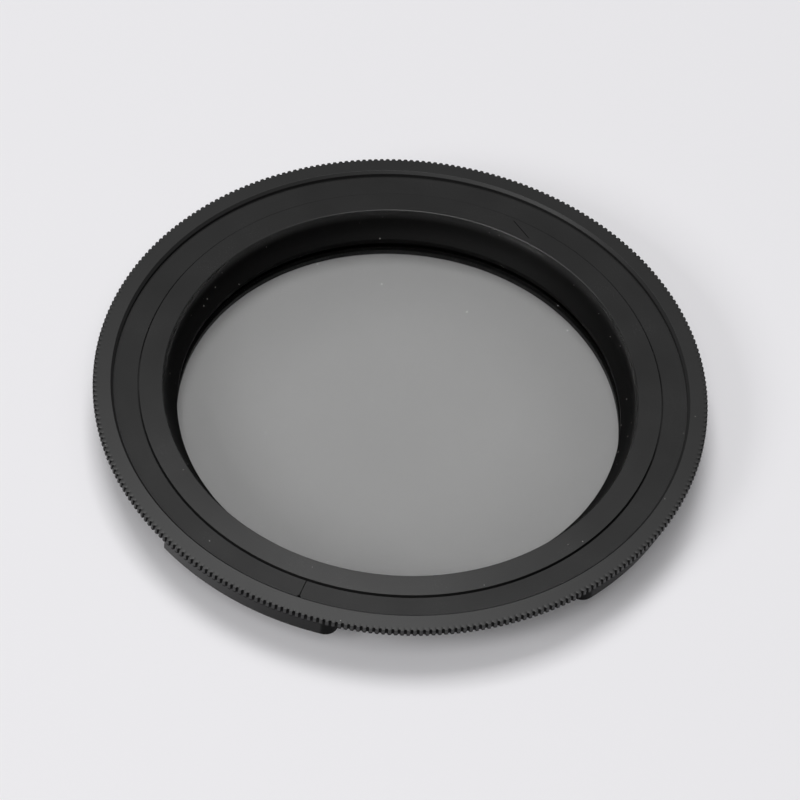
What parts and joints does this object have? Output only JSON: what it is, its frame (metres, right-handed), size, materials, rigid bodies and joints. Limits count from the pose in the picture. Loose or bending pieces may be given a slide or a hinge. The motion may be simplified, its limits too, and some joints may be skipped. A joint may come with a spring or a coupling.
{
  "type": "rotating bayonet lens filter",
  "caption": "Round black lens filter: a knurled mount ring with bayonet claws behind it carries a raised cell whose polarising glass turns about the optical axis.",
  "frame": {"origin": "on the optical axis, at the rear face of the cell's barrel, which the filter lies on", "axes": "+Z along the optical axis, out of the front of the filter; the claws lie about on +X, +Y, -X and -Y"},
  "size_m": [0.08, 0.08, 0.008],
  "materials": {
    "mount_black": "satin black anodised",
    "ring_black": "matte black anodised",
    "cell_black": "satin black anodised",
    "clear_glass": "polished and coated",
    "grey_film": "neutral grey polarising film"
  },
  "bodies": {
    "mount": {"mount_ring": "mount_black", "split_ring": "ring_black"},
    "cell": {"filter_cell": "cell_black", "glass_retaining_ring": "ring_black", "front_glass": "clear_glass", "polarising_film": "grey_film", "rear_glass": "clear_glass"}
  },
  "joints": [
    {"name": "cell_turn", "type": "hinge", "parent": "mount", "child": "cell", "pos_m": [0, 0, 0.0062], "axis": [0, 0, 1], "continuous": true}
  ]
}
